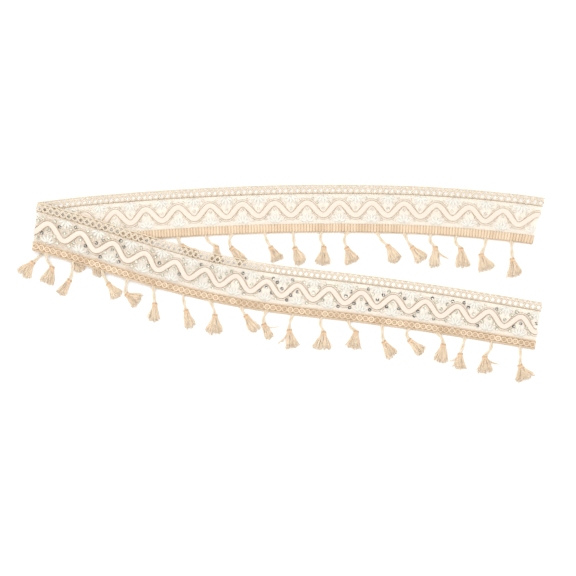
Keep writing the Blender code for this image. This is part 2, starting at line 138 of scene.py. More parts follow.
TASSELS = (
    Tassel(Leg.BACK, 511.2, (511.8, 258.0), (515.8, 275.2), 15.5),
    Tassel(Leg.BACK, 485.6, (480.6, 253.5), (487.0, 269.5), 18.0, 1.5),
    Tassel(Leg.BACK, 456.3, (460.6, 247.6), (463.0, 266.5), 14.0, -3.0),
    Tassel(Leg.BACK, 430.8, (435.2, 246.3), (435.2, 266.0), 11.0, -3.0, (448.8, 258.0)),
    Tassel(Leg.BACK, 404.0, (411.2, 246.5), (422.8, 259.6), 14.0, -0.8),
    Tassel(Leg.BACK, 376.6, (387.2, 244.8), (396.8, 260.4), 13.0, -1.5),
    Tassel(Leg.BACK, 348.4, (346.3, 247.0), (353.2, 262.6), 15.5, -3.2),
    Tassel(Leg.BACK, 321.6, (323.9, 246.0), (322.8, 264.2), 15.0, -2.4),
    Tassel(Leg.BACK, 292.9, (294.4, 247.0), (301.2, 263.2), 11.5),
    Tassel(Leg.BACK, 264.2, (270.2, 246.4), (278.0, 259.8), 12.5, -0.8),
    Tassel(Leg.BACK, 232.3, (230.6, 247.2), (243.2, 261.0), 10.0, -2.0),
    Tassel(Leg.BACK, 205.5, (216.4, 245.6), (216.4, 263.0), 10.5, -2.4),
    Tassel(Leg.BACK, 178.6, (181.6, 245.4), (197.2, 256.6), 9.5, -1.2),
    Tassel(Leg.BACK, 151.0, (152.6, 252.0), (162.4, 267.2), 9.5, -1.0),
    Tassel(Leg.BACK, 123.6, (127.2, 252.4), (131.6, 269.2), 9.5, -1.0),
    Tassel(Leg.BACK, 96.0, (97.4, 257.6), (99.2, 275.8), 9.0, 1.0),
    Tassel(Leg.BACK, 68.5, (71.6, 256.6), (81.6, 270.6), 8.0, -1.0),
    Tassel(Leg.BACK, 42.0, (33.6, 261.6), (22.6, 275.0), 15.5, 1.2),
    Tassel(Leg.FRONT, 46.6, (52.6, 266.2), (46.8, 282.8), 14.5, -2.2),
    Tassel(Leg.FRONT, 73.4, (70.2, 279.4), (60.4, 293.6), 9.5, 0.5),
    Tassel(Leg.FRONT, 102.0, (107.8, 283.2), (118.4, 296.4), 10.5, -0.6),
    Tassel(Leg.FRONT, 127.8, (125.6, 293.6), (138.8, 302.2), 18.5, -0.8),
    Tassel(Leg.FRONT, 153.2, (154.8, 302.6), (153.6, 320.4), 8.5),
    Tassel(Leg.FRONT, 183.0, (185.8, 309.6), (190.2, 326.8), 11.0, -0.6),
    Tassel(Leg.FRONT, 208.7, (215.0, 314.2), (214.0, 332.8), 17.0, 1.0),
    Tassel(Leg.FRONT, 241.2, (245.2, 315.0), (256.0, 329.8), 9.5, -0.8),
    Tassel(Leg.FRONT, 266.7, (263.4, 323.4), (270.4, 337.4), 8.0, -1.2, (277.8, 326.2)),
    Tassel(Leg.FRONT, 293.5, (289.0, 329.2), (291.8, 347.4), 13.5, -1.2, (278.4, 342.6)),
    Tassel(Leg.FRONT, 321.6, (323.8, 331.2), (322.0, 348.6), 17.0, -2.4),
    Tassel(Leg.FRONT, 348.4, (356.4, 330.4), (353.0, 347.2), 12.0, -2.6),
    Tassel(Leg.FRONT, 382.3, (383.2, 341.0), (392.6, 355.8), 13.0, -0.5),
    Tassel(Leg.FRONT, 409.0, (408.6, 339.4), (421.8, 351.8), 10.5, -2.4),
    Tassel(Leg.FRONT, 435.9, (443.4, 343.6), (440.8, 361.0), 14.5, 1.6),
    Tassel(Leg.FRONT, 464.6, (460.2, 353.0), (458.8, 368.2), 13.0, 0.6, (450.2, 360.8)),
    Tassel(Leg.FRONT, 491.4, (484.4, 355.6), (485.8, 372.2), 17.0, 2.4, (498.2, 363.8)),
    Tassel(Leg.FRONT, 519.4, (519.6, 364.4), (525.4, 379.0), 20.0, 0.8),
)


def smoothstep(value: np.ndarray | float) -> np.ndarray:
    """Gives a soft step.

    Args:
        value: a share, of which less than 0 counts as 0 and more than 1 as 1.

    Returns:
        The softened share, from 0 to 1.
    """
    clipped = np.clip(value, 0.0, 1.0)
    return clipped * clipped * (3 - 2 * clipped)


def from_photo(point: tuple) -> np.ndarray:
    """Gives a point of the floor, in metres, from a pixel of the photograph.

    Args:
        point: the pixel's x and y.

    Returns:
        The point's x and y in metres.
    """
    return np.array([(point[0] - ORIGIN_PX[0]) * PIXEL, (ORIGIN_PX[1] - point[1]) * PIXEL])


def wave_at(s: np.ndarray) -> np.ndarray:
    """Gives the wave tape's middle line across the strip.

    Args:
        s: lengths along the strip.

    Returns:
        The middle line's t at each length.
    """
    turn = 2 * math.pi * (s - WAVE_CREST_AT) / WAVE_PERIOD
    return WAVE_MIDDLE + WAVE_SWING * np.cos(turn)


@dataclass
class Strip:
    """The trim's centreline, unfolded into one plane, and the map from it onto the floor."""

    per_span: int = 24

    def __post_init__(self) -> None:
        """Works out the crease and the unfolded centreline."""
        self.foot = from_photo(CREASE_FOOT_PX)
        along = from_photo(CREASE_TOP_PX) - self.foot
        along /= np.linalg.norm(along)
        self.across = np.array([along[1], -along[0]])
        back = [self.mirrored(from_photo(p)) for p in reversed(BACK_LINE_PX)]
        front = [from_photo(p) for p in FRONT_LINE_PX]
        line = self.smooth_line(back + front)
        length = np.concatenate([[0.0], np.cumsum(np.linalg.norm(np.diff(line, axis=0), axis=1))])
        self.line = line
        self.length = length - np.interp(0.0, (line - self.foot) @ self.across, length)
        tangents = np.gradient(line, self.length, axis=0)
        self.tangents = tangents / np.linalg.norm(tangents, axis=1)[:, None]
        at_fold = self.tangents[np.searchsorted(self.length, 0.0)]
        lean = self.across[0] * at_fold[1] - self.across[1] * at_fold[0]
        self.shear = math.tan(math.asin(lean))

    def mirrored(self, point: np.ndarray) -> np.ndarray:
        """Gives the point on the other side of the crease, where the back leg unfolds to."""
        return point - 2 * ((point - self.foot) @ self.across) * self.across

    def smooth_line(self, points: list) -> np.ndarray:
        """Draws a smooth curve.

        Args:
            points: the points that it goes through.

        Returns:
            Many points of the curve.
        """
        ends = [points[0] * 2 - points[1], *points, points[-1] * 2 - points[-2]]
        line = []
        for before, start, end, after in zip(ends, ends[1:], ends[2:], ends[3:]):
            knots = [start, start + (end - before) / 6, end - (after - start) / 6, end]
            span = interpolate_bezier(*(Vector((*k, 0.0)) for k in knots), self.per_span + 1)
            line += [tuple(p.xy) for p in span[:-1]]
        return np.array([*line, tuple(points[-1])], float)

    def bend(self, points: np.ndarray) -> np.ndarray:
        """Bends points from strip coordinates onto the folded trim.

        Args:
            points: s, t and h of each point.

        Returns:
            x, y and z of each point.
        """
        s, t, h = points[..., 0], points[..., 1], points[..., 2]
        x, y = (np.interp(s, self.length, self.line[:, k]) for k in (0, 1))
        tx, ty = (np.interp(s, self.length, self.tangents[:, k]) for k in (0, 1))
        flat = np.stack([x - t * ty, y + t * tx], axis=-1)
        distance = (flat - self.foot) @ self.across
        on_crease = flat - distance[..., None] * self.across
        low = BRAID_THICK + (LACE_RISE - BRAID_THICK) * smoothstep((t - SEAM) / LACE_SAG_WIDTH)
        radius = (FRONT_LIFT + FOLD_BULGE - low) / 2
        quarter = radius * math.pi / 2
        turn = np.clip(distance, -quarter, quarter) / radius
        beyond = np.abs(distance) - quarter
        in_fold = beyond < 0
        reach = np.where(in_fold, radius - (radius + h) * np.cos(turn), radius + beyond)
        where = on_crease + reach[..., None] * self.across
        later = np.clip(t / HEADER_TOP, 0, 1)
        settle = SETTLE_AT_BRAID_PX + (SETTLE_AT_HEADER_PX - SETTLE_AT_BRAID_PX) * later
        place_px = where[..., 0] / PIXEL + ORIGIN_PX[0]
        front = FRONT_LIFT * (1 - smoothstep((place_px - settle) / SETTLE_LENGTH_PX))
        front = front + FOLD_BULGE * (1 - smoothstep(beyond / FOLD_BULGE_REACH)) + h
        fold = low + radius + (radius + h) * np.sin(turn)
        height = np.where(in_fold, fold, np.where(distance < 0, low - h, front))
        return np.concatenate([where, height[..., None]], axis=-1)

    def at_slant(self, s: np.ndarray, t: np.ndarray) -> np.ndarray:
        """Leans the columns along the crease near the fold, and along the slanted cut at the back leg's end.

        Args:
            s: where each column starts.
            t: where it is followed to.

        Returns:
            The length at which each column crosses t.
        """
        kept = 1 - smoothstep((np.abs(s) - SHEAR_KEPT) / (SHEAR_GONE - SHEAR_KEPT))
        near_end = smoothstep(1 - (s - BACK_END) / BACK_END_LENGTH)
        return s + t * self.shear * kept - t / HEADER_TOP * BACK_END_SLANT * near_end

    def slanted(self, s: np.ndarray, t: np.ndarray | float, h: np.ndarray | float) -> np.ndarray:
        """Gives points in strip coordinates whose columns lean as the ribbon's do.

        Args:
            s: where each point's column starts.
            t: each point's place across the strip.
            h: each point's height.

        Returns:
            s, t and h of each point.
        """
        s, t, h = np.broadcast_arrays(s, t, h)
        return np.stack([self.at_slant(s, t), t, h], axis=-1)

    def length_at(self, leg: Leg, x: float, t: float) -> float:
        """Finds where a leg's line at t reaches x on the floor.

        Args:
            leg: the leg.
            x: the place on the floor.
            t: the line across the strip.

        Returns:
            The length along the strip.
        """
        lengths = np.linspace(10 * MM, 470 * MM, 231) * leg.value
        found = self.bend(np.stack([lengths, np.full_like(lengths, t), np.zeros_like(lengths)], axis=-1))
        return float(np.interp(x, found[:, 0], lengths))


@dataclass
class Threads:
    """Gathers swept threads and small forms, and makes one mesh of them."""

    points: list = field(default_factory=list)
    corners: list = field(default_factory=list)
    sizes: list = field(default_factory=list)
    places: list = field(default_factory=list)
    tones: list = field(default_factory=list)
    slots: list = field(default_factory=list)
    count: int = 0

    def add(
        self, points: np.ndarray, faces: np.ndarray, places: np.ndarray, tones: np.ndarray, slot: int = 0
    ) -> None:
        """Adds points with faces that all have the same number of corners.

        Args:
            points: the new points.
            faces: for each face, the numbers of its corners among all points so far.
            places: u and v of each corner.
            tones: a light or dark share for each new point.
            slot: the number of the material.
        """
        if len(points):
            self.points.append(points.reshape(-1, 3))
            self.tones.append(np.broadcast_to(tones, points.shape[:-1]).reshape(-1))
        self.corners.append(faces.reshape(-1))
        self.sizes.append(np.full(faces.size // faces.shape[-1], faces.shape[-1]))
        self.places.append(places.reshape(-1, 2))
        self.slots.append(np.full(faces.size // faces.shape[-1], slot))
        self.count += points.size // 3

    def sweep(
        self,
        paths: np.ndarray,
        half_width: np.ndarray | float,
        half_height: np.ndarray | float | None = None,
        sides: int = 6,
        closed: bool = False,
        squareness: float = 1.0,
        tones: np.ndarray | float = 0.5,
        side: np.ndarray | None = None,
        slot: int = 0,
    ) -> None:
        """Sweeps an oval section along each path.

        Args:
            paths: points of one path or of several with as many points each.
            half_width: the section's half size beside the path.
            half_height: its half size above the path, or the same.
            sides: the section's number of sides.
            closed: whether each path is a ring.
            squareness: 1 for an oval section, and less for a flatter top and sides.
            tones: a light or dark share for each path or point.
            side: which way the width goes, or level and across the path.
            slot: the number of the material.
        """
        paths = np.asarray(paths, float)
        paths = paths[None] if paths.ndim == 2 else paths
        many, long = paths.shape[:2]
        if closed:
            along = np.roll(paths, -1, axis=1) - np.roll(paths, 1, axis=1)
        else:
            along = np.gradient(paths, axis=1)
        along = along / np.maximum(np.linalg.norm(along, axis=-1, keepdims=True), 1e-12)
        if side is None:
            side = np.stack([-along[..., 1], along[..., 0], np.zeros((many, long))], axis=-1)
            side = side / np.maximum(np.linalg.norm(side, axis=-1, keepdims=True), 1e-12)
        side = np.broadcast_to(side, paths.shape)
        up = np.cross(along, side)
        wide = np.broadcast_to(half_width, (many, long))[..., None, None]
        tall = wide if half_height is None else np.broadcast_to(half_height, (many, long))[..., None, None]
        angle = 2 * math.pi * (np.arange(sides) + 0.5) / sides
        out, rise = (np.sign(v) * np.abs(v) ** squareness for v in (np.cos(angle), np.sin(angle)))
        beside = wide * out[:, None] * side[:, :, None]
        above = tall * rise[:, None] * up[:, :, None]
        ring = paths[:, :, None] + beside + above
        tones = np.asarray(tones, float)
        tones = tones.reshape(tones.shape + (1,) * (2 - tones.ndim)) if tones.ndim else tones
        tones = np.broadcast_to(tones, (many, long))[..., None]

        number = self.count + np.arange(many * long * sides).reshape(many, long, sides)
        here = number if closed else number[:, :-1]
        ahead = np.roll(number, -1, axis=1) if closed else number[:, 1:]
        faces = np.stack([here, np.roll(here, -1, 2), np.roll(ahead, -1, 2), ahead], axis=-1)
        run = np.linalg.norm(np.diff(paths, axis=1), axis=-1).cumsum(axis=1)
        run = np.concatenate([np.zeros((many, 1)), run], axis=1)
        run = np.concatenate([run, run[:, -1:] * long / (long - 1)], axis=1) if closed else run
        u0, u1 = (np.repeat(u[..., None], sides, axis=2) for u in (run[:, :-1], run[:, 1:]))
        v0 = np.broadcast_to(np.arange(sides) / sides, u0.shape)
        v1 = v0 + 1 / sides
        places = np.stack([np.stack(p, axis=-1) for p in ((u0, v0), (u0, v1), (u1, v1), (u1, v0))], axis=-2)
        self.add(ring, faces, places, np.broadcast_to(tones, ring.shape[:-1]), slot)
        if not closed:
            caps = np.concatenate([number[:, 0, ::-1], number[:, -1]])
            self.add(np.zeros((0, 3)), caps, np.zeros((*caps.shape, 2)), np.zeros(0), slot)

    def revolve(
        self, centres: np.ndarray, profile: np.ndarray, segments: int, turns: np.ndarray, tones: np.ndarray
    ) -> None:
        """Spins one closed profile into a ring at each centre.

        Args:
            centres: the middle of each ring.
            profile: radius and height of the profile's points.
            segments: steps round the ring.
            turns: for each ring, the three axes that it is turned to.
            tones: a light or dark share for each ring.
        """
        angle = 2 * math.pi * np.arange(segments) / segments
        shape = np.stack(
            [
                np.cos(angle)[:, None] * profile[:, 0],
                np.sin(angle)[:, None] * profile[:, 0],
                np.broadcast_to(profile[:, 1], (segments, len(profile))),
            ],
            axis=-1,
        )
        points = centres[:, None, None] + np.einsum("ijk,mkl->mijl", shape, turns)
        number = self.count + np.arange(points[..., 0].size).reshape(points.shape[:3])
        on = np.roll(number, -1, axis=1)
        faces = np.stack([number, on, np.roll(on, -1, 2), np.roll(number, -1, 2)], axis=-1)
        u = np.broadcast_to(np.arange(segments)[:, None] / segments, shape.shape[:2])
        v = np.broadcast_to(profile[:, 0] / profile[:, 0].max(), shape.shape[:2])
        ahead = np.roll(v, -1, axis=1)
        after = u + 1 / segments
        rounds = ((u, v), (after, v), (after, ahead), (u, ahead))
        spot = np.stack([np.stack(p, axis=-1) for p in rounds], axis=-2)
        places = np.broadcast_to(spot, (len(centres), *spot.shape))
        self.add(points, faces, places, np.broadcast_to(tones[:, None, None], points.shape[:3]))

    def finished(self, name: str, materials: list, strip: Strip | None = None) -> bpy.types.Object:
        """Makes the object.

        Args:
            name: the piece's name.
            materials: its materials, in the order of their numbers.
            strip: the strip that bends it, if its points are in strip coordinates.

        Returns:
            The new object, linked to the scene.
        """
        points = np.concatenate(self.points)
        if strip is not None:
            points = strip.bend(points)
        corners, sizes = np.concatenate(self.corners), np.concatenate(self.sizes)
        mesh = bpy.data.meshes.new(name)
        mesh.vertices.add(len(points))
        mesh.vertices.foreach_set("co", points.astype(np.float32).ravel())
        mesh.loops.add(len(corners))
        mesh.loops.foreach_set("vertex_index", corners.astype(np.int32))
        mesh.polygons.add(len(sizes))
        mesh.polygons.foreach_set("loop_start", np.concatenate([[0], np.cumsum(sizes)[:-1]]).astype(np.int32))
        mesh.polygons.foreach_set("material_index", np.concatenate(self.slots).astype(np.int32))
        mesh.polygons.foreach_set("use_smooth", np.full(len(sizes), True))
        places = mesh.uv_layers.new(name="along")
        places.data.foreach_set("uv", np.concatenate(self.places).astype(np.float32).ravel())
        tones = mesh.attributes.new("tone", "FLOAT", "POINT")
        tones.data.foreach_set("value", np.concatenate(self.tones).astype(np.float32))
        mesh.update(calc_edges=True)
        mesh.validate()
        for material in materials:
            mesh.materials.append(material)
        made = bpy.data.objects.new(name, mesh)
        bpy.context.scene.collection.objects.link(made)
        return made


def linear(code: str) -> tuple:
    """Turns an sRGB colour into a linear one.

    Args:
        code: six hex digits.

    Returns:
        Red, green, blue and alpha.
    """
    shares = [int(code[k:k + 2], 16) / 255 for k in (0, 2, 4)]
    return (*(v / 12.92 if v <= 0.04045 else ((v + 0.055) / 1.055) ** 2.4 for v in shares), 1.0)


def add_node(
    tree: bpy.types.NodeTree, kind: str, settings: dict | None = None, links: dict | None = None
) -> bpy.types.Node:
    """Adds a node.

    Args:
        tree: the material's nodes.
        kind: the node's type.
        settings: its properties, and the values of its sockets by name or number.
        links: the sockets that feed it, by the name or number of its own.

    Returns:
        The new node.
    """
    node = tree.nodes.new(kind)
    for key, value in (settings or {}).items():
        if isinstance(key, str) and key in node.bl_rna.properties:
            setattr(node, key, value)
        else:
            node.inputs[key].default_value = value
    for key, source in (links or {}).items():
        tree.links.new(source, node.inputs[key])
    return node


def new_material(name: str) -> tuple:
    """Starts a material.

    Args:
        name: its name.

    Returns:
        The material, its nodes and its shader.
    """
    material = bpy.data.materials.new(name)
    material.use_nodes = True
    return material, material.node_tree, material.node_tree.nodes["Principled BSDF"]


@dataclass(frozen=True)
class YarnFinish:
    """Spun and twisted yarn: matt and a little woolly, with painted shade that darkens the twist's grooves.
    """

    name: str
    light: str
    dark: str
    twist_mm: float = 1.2
    plies: int = 2
    groove_painted_shade: float = 0.5
    fibre_mm: float = 0.35
    fibre_share: float = 0.6
    blotch_mm: float = 14.0
    blotch_share: float = 0.25
    depth: float = 0.42
    roughness: float = 0.85
    sheen: float = 0.25
    relief_mm: float = 0.12

    @cache
    def material(self) -> bpy.types.Material:
        """Makes the yarn's material, at its first use.

        Returns:
            The material.
        """
        material, tree, shader = new_material(self.name)
        tone = add_node(tree, "ShaderNodeAttribute", {"attribute_name": "tone"})
        along = add_node(tree, "ShaderNodeUVMap", {"uv_map": "along"})
        split = add_node(tree, "ShaderNodeSeparateXYZ", links={0: along.outputs[0]})
        run = add_node(
            tree, "ShaderNodeMath", {"operation": "MULTIPLY", 1: 1 / (self.twist_mm * MM)},
            {0: split.outputs[0]},
        )
        lead = add_node(
            tree, "ShaderNodeMath", {"operation": "MULTIPLY", 1: float(self.plies)}, {0: split.outputs[1]}
        )
        turn = add_node(tree, "ShaderNodeMath", {"operation": "ADD"}, {0: run.outputs[0], 1: lead.outputs[0]})
        angle = add_node(
            tree, "ShaderNodeMath", {"operation": "MULTIPLY", 1: 2 * math.pi}, {0: turn.outputs[0]}
        )
        ridge = add_node(tree, "ShaderNodeMath", {"operation": "SINE"}, {0: angle.outputs[0]})
        ridge = add_node(
            tree, "ShaderNodeMath", {"operation": "MULTIPLY_ADD", 1: 0.5, 2: 0.5}, {0: ridge.outputs[0]}
        )
        place = add_node(tree, "ShaderNodeTexCoord")
        fibre = add_node(
            tree, "ShaderNodeTexNoise",
            {"Scale": 1 / (self.fibre_mm * MM), "Detail": 3.0, "Roughness": 0.6},
            {"Vector": place.outputs["Object"]},
        )
        blotch = add_node(
            tree, "ShaderNodeTexNoise", {"Scale": 1 / (self.blotch_mm * MM), "Detail": 1.0},
            {"Vector": place.outputs["Object"]},
        )
        share = add_node(
            tree, "ShaderNodeMath", {"operation": "MULTIPLY_ADD", 1: self.fibre_share},
            {0: fibre.outputs["Fac"], 2: tone.outputs["Fac"]},
        )
        share = add_node(
            tree, "ShaderNodeMath", {"operation": "MULTIPLY_ADD", 1: self.blotch_share},
            {0: blotch.outputs["Fac"], 2: share.outputs[0]},
        )
        share = add_node(
            tree, "ShaderNodeMath", {"operation": "SUBTRACT", 1: self.depth + self.groove_painted_shade},
            {0: share.outputs[0]},
        )
        # Painted shade: the colour is darkened along the twist's grooves, by up to the finish's set share.
        lit = add_node(
            tree, "ShaderNodeMath", {"operation": "MULTIPLY_ADD", 1: self.groove_painted_shade, "use_clamp": True},
            {0: ridge.outputs[0], 2: share.outputs[0]},
        )
        colour = add_node(
            tree, "ShaderNodeMix", {"data_type": "RGBA", 6: linear(self.dark), 7: linear(self.light)},
            {0: lit.outputs[0]},
        )
        height = add_node(
            tree, "ShaderNodeMath", {"operation": "MULTIPLY_ADD", 1: 0.35},
            {0: fibre.outputs["Fac"], 2: ridge.outputs[0]},
        )
        bump = add_node(
            tree, "ShaderNodeBump", {"Strength": 0.7, "Distance": self.relief_mm * MM},
            {"Height": height.outputs[0]},
        )
        tree.links.new(colour.outputs[2], shader.inputs["Base Color"])
        tree.links.new(bump.outputs[0], shader.inputs["Normal"])
        shader.inputs["Roughness"].default_value = self.roughness
        shader.inputs["Specular IOR Level"].default_value = 0.3
        shader.inputs["Sheen Weight"].default_value = self.sheen
        shader.inputs["Sheen Roughness"].default_value = 0.5
        return material


@dataclass(frozen=True)
class NetFinish:
    """Polyester tulle: fine threads in three directions with open cells, which veil what lies behind."""

    name: str = "polyester_tulle"
    colour: str = "f0e4d3"
    cell_mm: float = 1.1
    thread_share: float = 0.16
    haze: float = 0.28
    roughness: float = 0.7

    @cache
    def material(self) -> bpy.types.Material:
        """Makes the net's material, at its first use.

        Returns:
            The material.
        """
        material, tree, shader = new_material(self.name)
        along = add_node(tree, "ShaderNodeUVMap", {"uv_map": "along"})
        cover = None
        for degrees in (0, 60, 120):
            way = math.radians(degrees)
            across = (math.cos(way) / (self.cell_mm * MM), math.sin(way) / (self.cell_mm * MM), 0)
            dot = add_node(
                tree, "ShaderNodeVectorMath", {"operation": "DOT_PRODUCT", 1: across}, {0: along.outputs[0]}
            )
            wave = add_node(
                tree, "ShaderNodeMath", {"operation": "PINGPONG", 1: 0.5}, {0: dot.outputs["Value"]}
            )
            thread = add_node(
                tree, "ShaderNodeMath", {"operation": "LESS_THAN", 1: self.thread_share / 2},
                {0: wave.outputs[0]},
            )
            if cover is None:
                cover = thread
            else:
                cover = add_node(
                    tree, "ShaderNodeMath", {"operation": "MAXIMUM"},
                    {0: cover.outputs[0], 1: thread.outputs[0]},
                )
        alpha = add_node(
            tree, "ShaderNodeMath", {"operation": "MULTIPLY_ADD", 1: 1 - self.haze, 2: self.haze},
            {0: cover.outputs[0]},
        )
        tree.links.new(alpha.outputs[0], shader.inputs["Alpha"])
        shader.inputs["Base Color"].default_value = linear(self.colour)
        shader.inputs["Roughness"].default_value = self.roughness
        shader.inputs["Specular IOR Level"].default_value = 0.3
        shader.inputs["Sheen Weight"].default_value = 0.2
        return material


@dataclass(frozen=True)
class SequinFinish:
    """Metallised PET film, pressed into small cups: mirror-like. Each cup's tone, from near black to pale, is
    painted reflection of its surround, and specks and a ring inside the cup are painted highlights.
    """

    name: str = "pet_film_sequin"
    dark_reflection: str = "211e1a"
    middle: str = "8c8974"
    pale_reflection: str = "bfbba6"
    painted_glint: str = "e8e4d8"
    dark_to: float = 0.28
    middle_at: float = 0.4
    pale_from: float = 0.85
    glint_mm: float = 0.9
    rim_glint_share: float = 0.55
    roughness: float = 0.22

    @cache
    def material(self) -> bpy.types.Material:
        """Makes the sequins' material, at its first use.

        Returns:
            The material.
        """
        material, tree, shader = new_material(self.name)
        tone = add_node(tree, "ShaderNodeAttribute", {"attribute_name": "tone"})
        # Painted reflection: the tone picks a colour from near black through grey-green to pale, as a cup
        # would show from what it reflects.
        low = add_node(
            tree, "ShaderNodeMapRange", {"From Min": self.dark_to, "From Max": self.middle_at},
            {"Value": tone.outputs["Fac"]},
        )
        high = add_node(
            tree, "ShaderNodeMapRange", {"From Min": self.middle_at, "From Max": self.pale_from},
            {"Value": tone.outputs["Fac"]},
        )
        first = add_node(
            tree, "ShaderNodeMix", {"data_type": "RGBA", 6: linear(self.dark_reflection), 7: linear(self.middle)},
            {0: low.outputs[0]},
        )
        base = add_node(
            tree, "ShaderNodeMix", {"data_type": "RGBA", 7: linear(self.pale_reflection)},
            {0: high.outputs[0], 6: first.outputs[2]},
        )
        # Painted highlight: noise specks and a ring inside the cup take the highlight colour.
        place = add_node(tree, "ShaderNodeTexCoord")
        speck = add_node(
            tree, "ShaderNodeTexNoise", {"Scale": 1 / (self.glint_mm * MM), "Detail": 0.0},
            {"Vector": place.outputs["Object"]},
        )
        speck = add_node(
            tree, "ShaderNodeMapRange", {"From Min": 0.58, "From Max": 0.66}, {"Value": speck.outputs["Fac"]}
        )
        along = add_node(tree, "ShaderNodeUVMap", {"uv_map": "along"})
        split = add_node(tree, "ShaderNodeSeparateXYZ", links={0: along.outputs[0]})
        ring = add_node(
            tree, "ShaderNodeMapRange",
            {"From Min": self.rim_glint_share - 0.12, "From Max": self.rim_glint_share, "To Max": 0.5},
            {"Value": split.outputs[1]},
        )
        ring = add_node(tree, "ShaderNodeMath", {"operation": "SUBTRACT", 0: 0.5}, {1: ring.outputs[0]})
        bright = add_node(
            tree, "ShaderNodeMath", {"operation": "MAXIMUM"}, {0: speck.outputs[0], 1: ring.outputs[0]}
        )
        colour = add_node(
            tree, "ShaderNodeMix", {"data_type": "RGBA", 7: linear(self.painted_glint)},
            {0: bright.outputs[0], 6: base.outputs[2]},
        )
        tree.links.new(colour.outputs[2], shader.inputs["Base Color"])
        shader.inputs["Metallic"].default_value = 0.75
        shader.inputs["Roughness"].default_value = self.roughness
        shader.inputs["Coat Weight"].default_value = 0.5
        shader.inputs["Coat Roughness"].default_value = 0.05
        return material


# Unbleached cotton yarn, loosely twisted: warm cream, with soft grooves.
LACE_COTTON = YarnFinish("lace_cotton_cream", light="f6ecdc", dark="d4c2a6")
# Close satin stitches in a soft rayon: a smooth, faintly pink band with a low gleam.
TAPE_SATIN = YarnFinish(
    "satin_stitch_tape", light="ebdfd3", dark="d9c8b7", twist_mm=0.55, plies=0, groove_painted_shade=0.25,
    roughness=0.55, sheen=0.4,
)
# Tightly twisted cotton cord: thin tan lines that set off the tape. The header's tan threads and its lower
# edge cord take it too, as painted shade.
OUTLINE_AND_SHADE_COTTON = YarnFinish("outline_cord_and_shade_tan", light="d2bfa3", dark="a38a6a", twist_mm=0.9)
# Glossy filament, embroidered in petals: nearly white, and cooler than the cotton.
FAN_SILVER = YarnFinish(
    "fan_thread_pale", light="f8f6f0", dark="cfcbbf", twist_mm=0.6, plies=1, roughness=0.5, sheen=0.1
)
# Plied cotton gimp: warm beige loops; the brown between them is painted shade in the hollows.
GIMP_COTTON = YarnFinish("gimp_cotton_beige", light="fae8d0", dark="b0906a", twist_mm=1.4, groove_painted_shade=0.3)
# Soft spun cotton, cut and combed: beige, without a clear twist; the deeper beige at the tied head is painted
# shade.
TASSEL_COTTON = YarnFinish(
    "tassel_cotton_beige", light="f9ebd3", dark="d9b48c", twist_mm=1.6, groove_painted_shade=0.06, sheen=0.35,
    relief_mm=0.03,
)
# Two-ply cotton cord: pale cream, lighter than the tassel that hangs from it.
CORD_COTTON = YarnFinish("tassel_cord_cream", light="e6dac7", dark="cdb999", twist_mm=1.1, groove_painted_shade=0.15)


def lengths_every(step: float) -> np.ndarray:
    """Gives lengths along the whole strip.

    Args:
        step: about how far apart.

    Returns:
        The lengths, from the back leg's cut end to the front leg's.
    """
    return np.linspace(BACK_END, FRONT_END, round((FRONT_END - BACK_END) / step) + 1)


